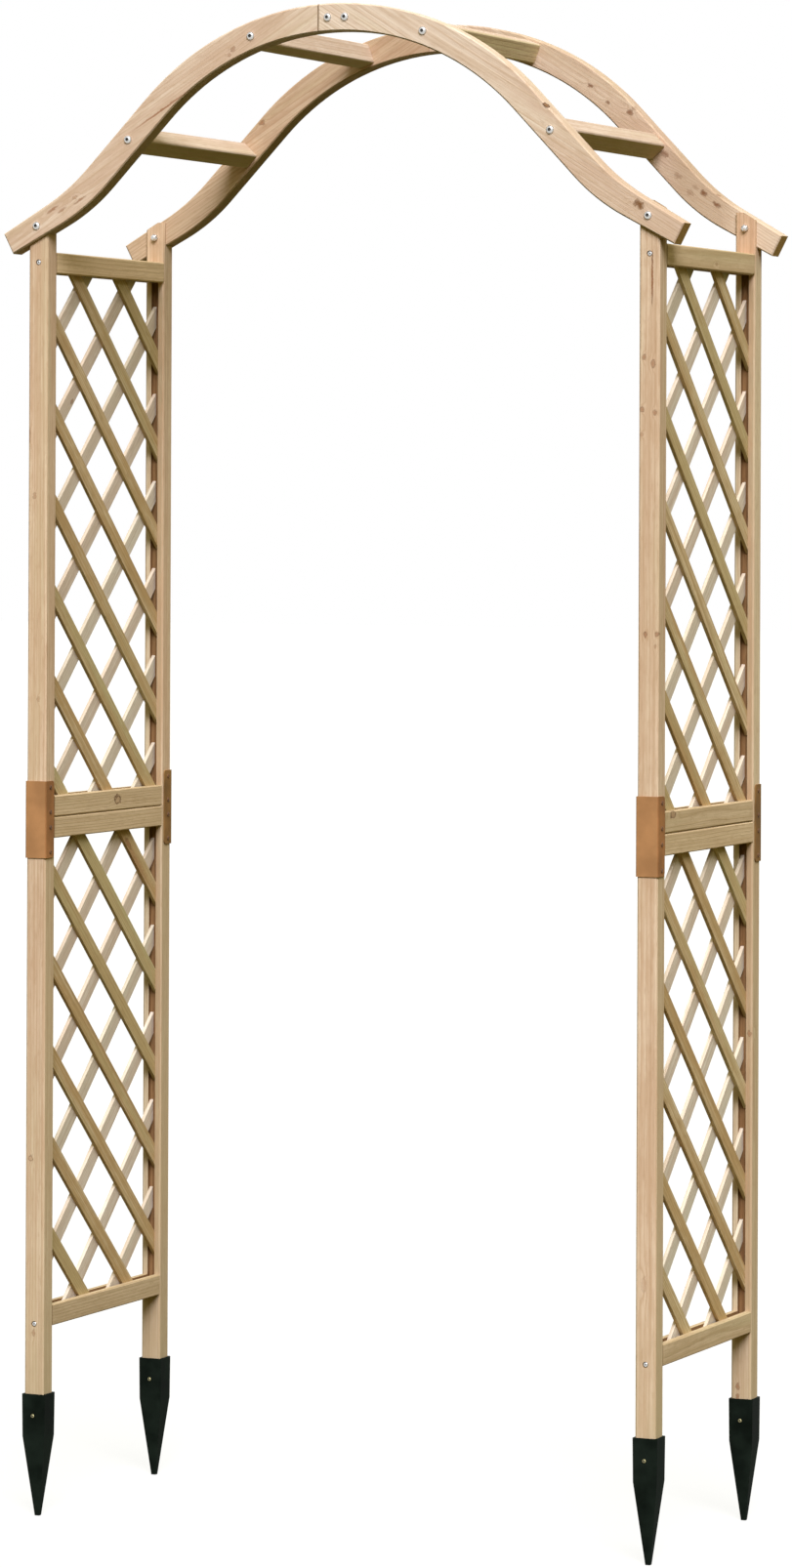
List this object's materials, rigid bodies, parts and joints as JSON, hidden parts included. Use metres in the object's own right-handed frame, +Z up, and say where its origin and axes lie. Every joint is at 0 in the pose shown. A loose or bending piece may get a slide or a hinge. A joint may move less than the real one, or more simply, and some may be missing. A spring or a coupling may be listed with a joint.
{
  "type": "garden arch",
  "caption": "Wooden garden arch with ogee top beams, lattice sides, spliced posts in metal brackets and ground spikes.",
  "frame": {"origin": "centre of the footprint, on the plane of the four spike tips", "axes": "+Z up; X across the walkway; Y along the walkway, the front beam is at -Y"},
  "size_m": [1.115, 0.466, 2.3065],
  "materials": {
    "post_wood": "planed softwood, pinkish tan, matt, with straight grain and small knots",
    "rail_wood": "planed softwood, olive tan, matt",
    "slat_wood": "sawn softwood laths, olive brown to pale grey tan, matt",
    "beam_wood": "band-sawn and sanded softwood, cream to tan, matt, with knots",
    "bracket_paint": "orange-brown satin powder coat on folded sheet",
    "spike_plastic": "black moulded plastic, matt with a soft sheen",
    "bolt_steel": "zinc plated",
    "bracket_screw_steel": "dark browned screws",
    "spike_screw_brass": "dull yellow passivated"
  },
  "bodies": {
    "root": {"beam_front_left": "beam_wood", "beam_front_right": "beam_wood", "beam_rear_left": "beam_wood", "beam_rear_right": "beam_wood", "bracket_screws": "bracket_screw_steel", "crossbar_bolts": "bolt_steel", "crossbar_left_high": "beam_wood", "crossbar_left_low": "beam_wood", "crossbar_right_high": "beam_wood", "crossbar_right_low": "beam_wood", "ground_spike_front_left": "spike_plastic", "ground_spike_front_right": "spike_plastic", "ground_spike_rear_left": "spike_plastic", "ground_spike_rear_right": "spike_plastic", "lap_bolts": "bolt_steel", "lap_nuts": "bolt_steel", "post_bolts": "bolt_steel", "post_lower_front_left": "post_wood", "post_lower_front_right": "post_wood", "post_lower_rear_left": "post_wood", "post_lower_rear_right": "post_wood", "post_nuts": "bolt_steel", "post_upper_front_left": "post_wood", "post_upper_front_right": "post_wood", "post_upper_rear_left": "post_wood", "post_upper_rear_right": "post_wood", "rail_left_bottom": "rail_wood", "rail_left_mid_lower": "rail_wood", "rail_left_mid_upper": "rail_wood", "rail_left_top": "rail_wood", "rail_right_bottom": "rail_wood", "rail_right_mid_lower": "rail_wood", "rail_right_mid_upper": "rail_wood", "rail_right_top": "rail_wood", "rail_screws": "bolt_steel", "slats_left_lower_falling": "slat_wood", "slats_left_lower_rising": "slat_wood", "slats_left_upper_falling": "slat_wood", "slats_left_upper_rising": "slat_wood", "slats_right_lower_falling": "slat_wood", "slats_right_lower_rising": "slat_wood", "slats_right_upper_falling": "slat_wood", "slats_right_upper_rising": "slat_wood", "spike_screws": "spike_screw_brass", "splice_bracket_front_left": "bracket_paint", "splice_bracket_front_right": "bracket_paint", "splice_bracket_rear_left": "bracket_paint", "splice_bracket_rear_right": "bracket_paint"}
  },
  "joints": []
}
